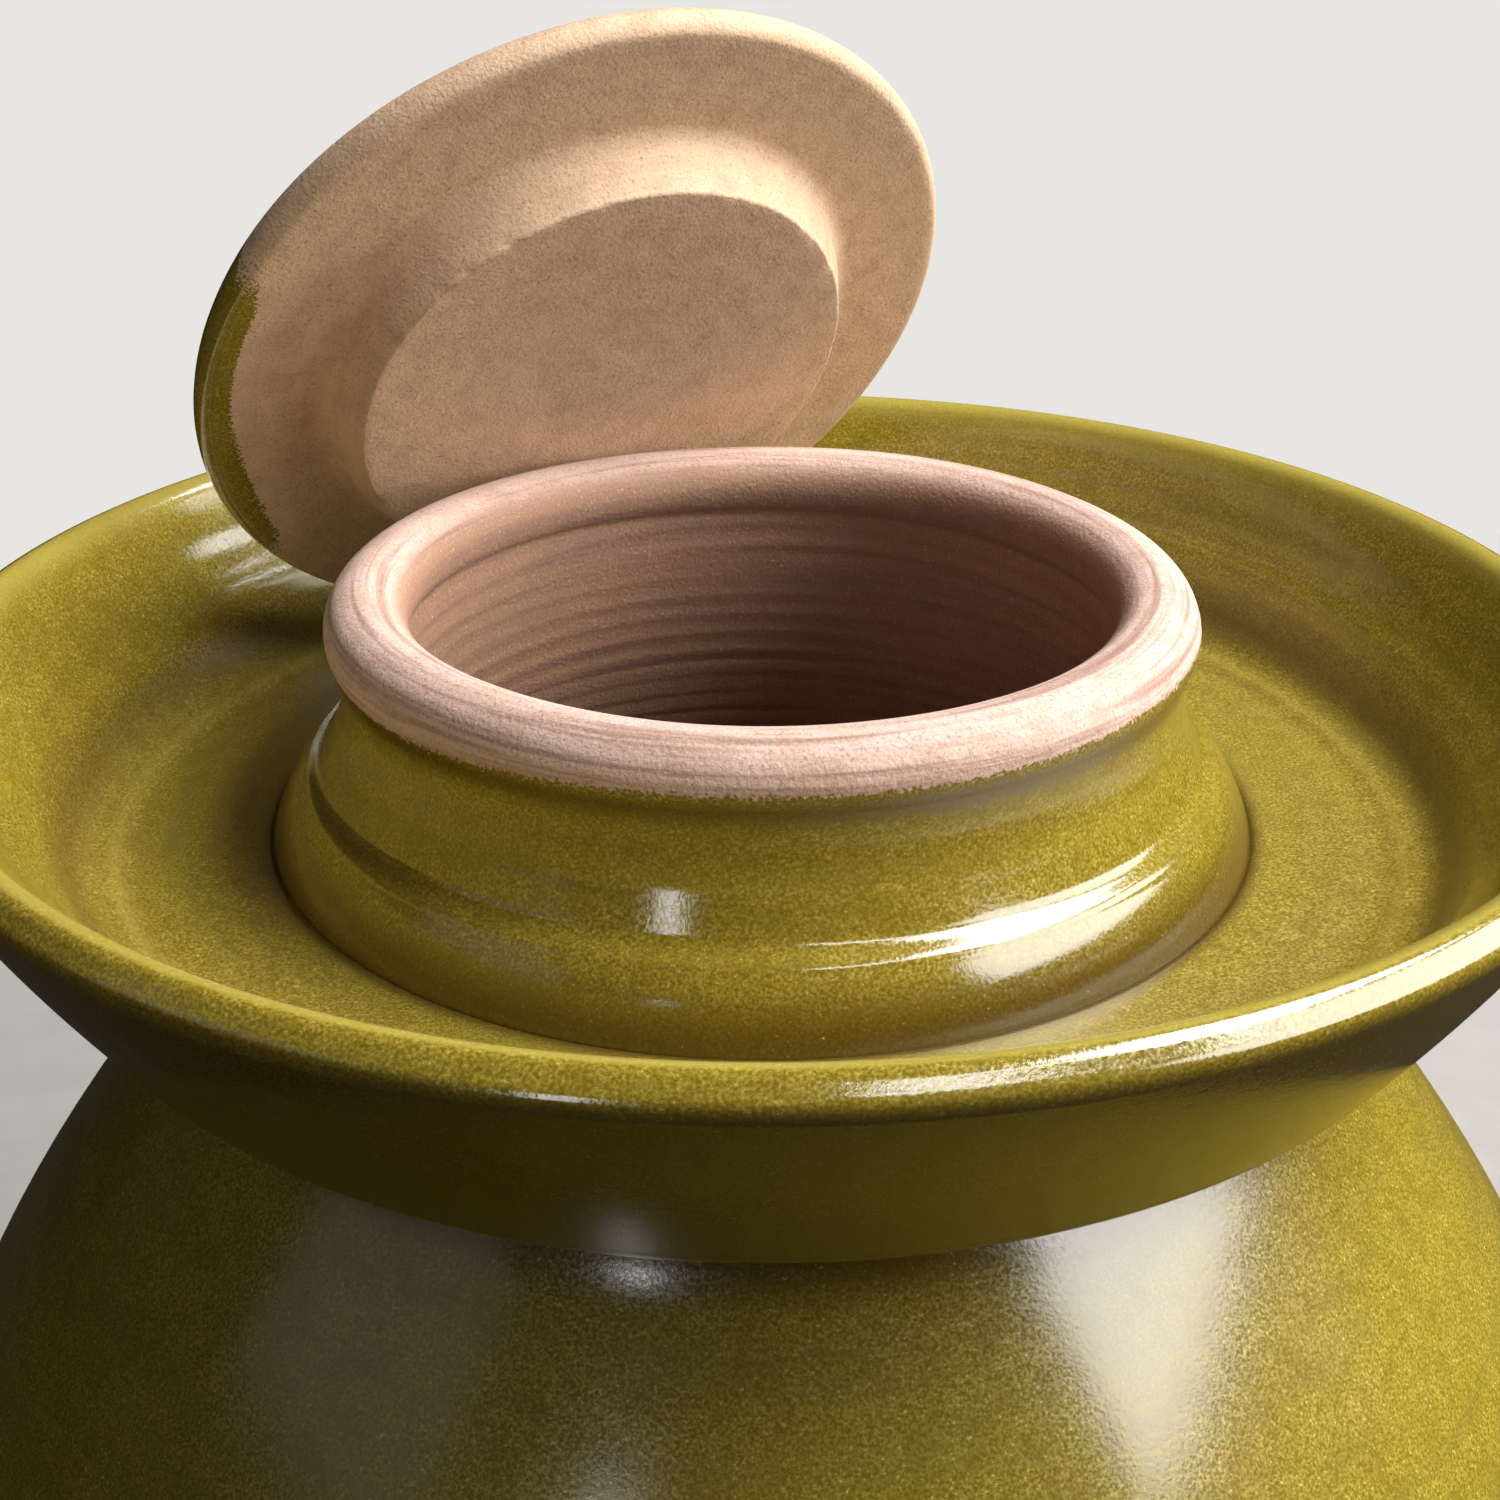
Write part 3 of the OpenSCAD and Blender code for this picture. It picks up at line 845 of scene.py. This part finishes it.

# %% [markdown]
# ## One material for clay and glaze
# A fired pot is one clay with a skin of glass over part of it. So there is one recipe, and
# the values stored on the mesh decide what shows: bare clay where the glaze was wiped away,
# amber where it ran thick, and a lighter skin where it ran thin. The same dark amber is also
# painted as shade on the trough's outside, on the shoulder under it and below the rim. The
# glaze is full of tiny crystals, so its gloss changes from grain to grain. It is as clear as
# glass underneath, and its high index of refraction (IOR) makes it shine more than plain glass does.

# %% Small tools for wiring nodes
class Recipe:
    """A material's nodes, with a short call for each kind that is used here."""

    def __init__(self, name):
        self.material = bpy.data.materials.new(name)
        self.material.use_nodes = True
        self.nodes = self.material.node_tree.nodes
        self.links = self.material.node_tree.links
        self.shader = self.nodes["Principled BSDF"]

    def feed(self, socket, value):
        if isinstance(value, bpy.types.NodeSocket):
            self.links.new(value, socket)
        else:
            socket.default_value = value

    def stored(self, key, output="Fac"):
        node = self.nodes.new("ShaderNodeAttribute")
        node.attribute_name = key
        return node.outputs[output]

    def math(self, kind, a, b=0.0, c=0.0, clamp=False):
        node = self.nodes.new("ShaderNodeMath")
        node.operation = kind
        node.use_clamp = clamp
        for socket, value in zip(node.inputs, (a, b, c)):
            self.feed(socket, value)
        return node.outputs[0]

    def scaled(self, vector, factors):
        node = self.nodes.new("ShaderNodeVectorMath")
        node.operation = "MULTIPLY"
        self.feed(node.inputs[0], vector)
        node.inputs[1].default_value = factors
        return node.outputs[0]

    def noise(self, vector, detail=2.0, rough=0.5):
        node = self.nodes.new("ShaderNodeTexNoise")
        self.feed(node.inputs["Vector"], vector)
        node.inputs["Scale"].default_value = 1.0
        node.inputs["Detail"].default_value = detail
        node.inputs["Roughness"].default_value = rough
        return node.outputs["Fac"]

    def spread(self, value, low, high, to_low=0.0, to_high=1.0):
        node = self.nodes.new("ShaderNodeMapRange")
        node.interpolation_type = "SMOOTHSTEP"
        for socket, number in zip(node.inputs, (value, low, high, to_low, to_high)):
            self.feed(socket, number)
        return node.outputs[0]

    def mix(self, factor, a, b):
        node = self.nodes.new("ShaderNodeMix")
        node.data_type = "RGBA"
        self.feed(node.inputs[0], factor)
        self.feed(node.inputs[6], a)
        self.feed(node.inputs[7], b)
        return node.outputs[2]

    def bump(self, height, distance):
        node = self.nodes.new("ShaderNodeBump")
        self.feed(node.inputs["Height"], height)
        self.feed(node.inputs["Distance"], distance)
        return node.outputs["Normal"]


def colour(red, green, blue):
    """A colour as it shows on a screen (0 to 255), turned into light."""
    parts = [c / 255 for c in (red, green, blue)]
    light = [p / 12.92 if p <= 0.04045 else ((p + 0.055) / 1.055) ** 2.4 for p in parts]
    return (*light, 1.0)


# %% The colours of glaze and clay
olive_deep = colour(118, 102, 26)
olive_light = colour(164, 144, 52)
olive_crystal = colour(204, 188, 106)
olive_mottle = colour(118, 98, 22)
olive_brushed = colour(120, 108, 42)
# The amber of thick glaze, which also paints the shade on the trough's outside, under it and below the
# rim.
olive_thick = colour(80, 57, 8)
olive_thin = colour(182, 166, 78)
clay_wiped = colour(140, 100, 84)
clay_mottle = colour(168, 128, 98)
clay_pit = colour(122, 92, 76)
clay_grit = colour(240, 216, 196)
glaze_ior = 1.72
print("thick glaze keeps %.0f%% of the red light" % (100 * olive_thick[0]))

# %% [markdown]
# The noises are laid down in the piece's own space, so that they ride with it. Two of them
# are stretched round the pot, since a brush and a sponge leave their streaks that way while
# the wheel turns: one streaks the glaze and the other streaks the wiped clay of the rim.

# %% The fired stoneware
def stoneware(name, clay, blush, streaks):
    """Clay of one colour that turns to blush, under the olive glaze. streaks is 0 to 1."""
    m = Recipe(name)
    local = m.stored("local", "Vector")
    round_about = m.stored("round", "Vector")
    bare, flush, pool = m.stored("bare"), m.stored("flush"), m.stored("pool")
    grain = m.noise(m.scaled(local, (2300, 2300, 2300)), 2.0, 0.6)
    mottle = m.noise(m.scaled(local, (230, 230, 230)), 2.0, 0.55)
    brushed = m.noise(m.scaled(round_about, (1.7, 1.7, 280)), 2.0, 0.6)
    wiped = m.noise(m.scaled(round_about, (1.1, 1.1, 620)), 3.0, 0.65)

    olive = m.mix(m.spread(grain, 0.34, 0.66), olive_deep, olive_light)
    olive = m.mix(m.spread(grain, 0.62, 0.74, 0.0, 0.6), olive, olive_crystal)
    olive = m.mix(m.spread(mottle, 0.4, 0.72, 0.0, 0.4), olive, olive_mottle)
    olive = m.mix(m.spread(brushed, 0.42, 0.72, 0.0, 0.35), olive, olive_brushed)
    # Thick glaze and the painted shade under the trough and the rim both turn the glaze to dark amber.
    thick = m.math("MULTIPLY", m.spread(pool, 0.0, 1.0), 0.85)
    olive = m.mix(thick, olive, olive_thick)
    thin = m.math("MULTIPLY", m.spread(pool, 0.0, -1.0), 0.75)
    olive = m.mix(thin, olive, olive_thin)

    body = m.mix(flush, colour(*clay), colour(*blush))
    streak = m.math("MULTIPLY", m.spread(wiped, 0.44, 0.7), streaks)
    body = m.mix(streak, body, clay_wiped)
    body = m.mix(m.spread(mottle, 0.38, 0.7, 0.0, 0.3), body, clay_mottle)
    body = m.mix(m.spread(grain, 0.3, 0.46, 0.5, 0.0), body, clay_pit)
    body = m.mix(m.spread(grain, 0.6, 0.72, 0.0, 0.35), body, clay_grit)

    ragged = m.math("MULTIPLY", m.math("SUBTRACT", grain, 0.5), 1.8)
    bare_here = m.spread(m.math("ADD", bare, ragged), 0.35, 0.65)
    m.feed(m.shader.inputs["Base Color"], m.mix(bare_here, olive, body))
    gloss = m.math("ADD", m.spread(grain, 0.3, 0.7, 0.07, 0.2), m.math("MULTIPLY", flush, 0.22))
    dull = m.math("ADD", gloss, m.math("MULTIPLY", bare_here, 0.66), clamp=True)
    m.feed(m.shader.inputs["Roughness"], dull)
    m.shader.inputs["IOR"].default_value = glaze_ior

    skin = m.noise(m.scaled(local, (1500, 1500, 1500)), 2.0, 0.6)
    m.feed(m.shader.inputs["Normal"], m.bump(skin, m.spread(bare, 0.0, 1.0, 0.02 * mm, 0.15 * mm)))
    print(name, "uses", len(m.nodes), "nodes")
    return m.material


# %% Dress the pieces
def dress(piece, material):
    piece.data.materials.clear()
    piece.data.materials.append(material)


jar_clay = stoneware("jar_stoneware", (158, 116, 84), (214, 182, 168), 0.8)
lid_clay = stoneware("lid_stoneware", (218, 182, 146), (220, 184, 154), 0.1)
for piece in (vessel, trough, neck, cover, grip):
    dress(piece, jar_clay)
for piece in (lid, knob):
    dress(piece, lid_clay)

# %% [markdown]
# ## Floor and light
# The pot in the picture stands in a dark room and keeps deep shade under its trough. A pale
# floor would fill that shade and would mirror in the glaze. So the floor is pale only to the
# rays that come straight from the camera, which Light Path's Is Camera Ray picks out, and
# dark to all others. Farther off it glows in the colour of the backdrop, so that the two meet
# without a line. It still takes the object's shadow.

# %% The floor
backdrop = colour(232, 230, 226)
paper_low = colour(170, 167, 162)
paper_high = colour(176, 173, 168)
paper_unseen = colour(44, 42, 38)
fade_from, fade_to = 0.35, 1.1
floor_size = 14.0
floor_mesh = bpy.data.meshes.new("floor")
half = floor_size / 2
floor_mesh.from_pydata([(-half, -half, 0), (half, -half, 0), (half, half, 0), (-half, half, 0)],
                       [], [(0, 1, 2, 3)])
floor = bpy.data.objects.new("floor", floor_mesh)
floor.location.z = foot_z
bpy.context.scene.collection.objects.link(floor)
print("floor:", floor_size, "m wide, at height", round(foot_z, 4))

# %% The paper on the floor
paper = Recipe("paper")
place = paper.nodes.new("ShaderNodeTexCoord").outputs["Object"]
paper_grain = paper.noise(paper.scaled(place, (40, 40, 40)))
white = paper.mix(paper.spread(paper_grain, 0.3, 0.7), paper_low, paper_high)
from_camera = paper.nodes.new("ShaderNodeLightPath").outputs["Is Camera Ray"]
white = paper.mix(from_camera, paper_unseen, white)
apart = paper.nodes.new("ShaderNodeVectorMath")
apart.operation = "LENGTH"
paper.feed(apart.inputs[0], place)
fade = paper.spread(apart.outputs["Value"], fade_from, fade_to)
far = paper.math("MULTIPLY", from_camera, fade)
paper.feed(paper.shader.inputs["Base Color"], paper.mix(far, white, (0, 0, 0, 1)))
paper.shader.inputs["Emission Color"].default_value = backdrop
paper.feed(paper.shader.inputs["Emission Strength"], far)
paper.shader.inputs["Roughness"].default_value = 0.9
paper.shader.inputs["Specular IOR Level"].default_value = 0.0
floor.data.materials.append(paper.material)
print("paper uses", len(paper.nodes), "nodes")

# %% [markdown]
# A glossy pot shows every lamp, so each lamp is placed for the patch of light that it makes.
# The key lamp stands high on the right and gives most of the light. The window below it
# shows on the shoulder and on the outer side of the lip. A dim window answers it on the left,
# and a narrow slot in front makes the small sparkle on the neck.
#
# An object in Cycles can be hidden from some kinds of rays. The low lamp lights the shoulder
# from the side, but its reflection would be one too many, so glossy rays don't see it. The
# window's pane and the gap of its curtain are the other way round. They only show in the
# glaze: the pane makes the window as bright there as in the picture, and the gap lengthens
# the lines of light on the lip and in the corner of the neck.

# %% A soft lamp
daylight = (1, 0.99, 0.975)
sky_light = (0.94, 0.97, 1)


def soft_box(name, turn, rise, distance, width, height, power, tint=(1, 1, 1)):
    """A lamp seen from the jar's neck at the angles turn (from +X) and rise (from level)."""
    data = bpy.data.lights.new(name, "AREA")
    data.shape = "RECTANGLE"
    data.size = width
    data.size_y = height
    data.energy = power
    data.color = tint
    lamp = bpy.data.objects.new(name, data)
    level = math.cos(math.radians(rise))
    way = Vector((level * math.cos(math.radians(turn)), level * math.sin(math.radians(turn)),
                  math.sin(math.radians(rise))))
    lamp.location = Vector((0, 0, floor_z)) + distance * way
    lamp.rotation_euler = (-way).to_track_quat("-Z", "Y").to_euler()
    bpy.context.scene.collection.objects.link(lamp)
    return lamp


# %% The lamps
soft_box("key", 3, 56, 1.3, 1.05, 0.55, 33, daylight)
soft_box("window", -9, 29, 1.3, 1.3, 0.54, 9.5, daylight)
soft_box("left_window", -155, 24, 1.3, 0.8, 0.5, 0.3, sky_light)
soft_box("slot", -112, 11, 1.2, 0.12, 0.6, 1.5)

unmirrored = soft_box("low_lamp", 0, 8, 1.3, 0.3, 0.25, 7.5, daylight)
unmirrored.visible_glossy = False

pane = soft_box("window_pane", -9, 29, 1.29, 1.3, 0.54, 9)
curtain = soft_box("curtain_gap", -50, 52, 1.3, 0.8, 0.12, 3.3)
for mirrored in (pane, curtain):
    mirrored.visible_diffuse = False

# %% [markdown]
# The world is the rest of the room. It shows the pale backdrop to the camera, also through
# anything clear, and nearly nothing to the rays that light the pot.

# %% The room
dark_room = (0.015, 0.015, 0.015, 1)
world = bpy.data.worlds.new("room")
bpy.context.scene.world = world
world.use_nodes = True
room = world.node_tree
path = room.nodes.new("ShaderNodeLightPath")
straight = room.nodes.new("ShaderNodeMath")
straight.operation = "MAXIMUM"
room.links.new(path.outputs["Is Camera Ray"], straight.inputs[0])
room.links.new(path.outputs["Is Transmission Ray"], straight.inputs[1])
shown = room.nodes.new("ShaderNodeMix")
shown.data_type = "RGBA"
room.links.new(straight.outputs[0], shown.inputs[0])
shown.inputs[6].default_value = dark_room
shown.inputs[7].default_value = backdrop
room.links.new(shown.outputs[2], room.nodes["Background"].inputs["Color"])
room.nodes["Background"].inputs["Strength"].default_value = 1.0
print("the room's light is", dark_room[0], "and its backdrop", round(backdrop[0], 2))
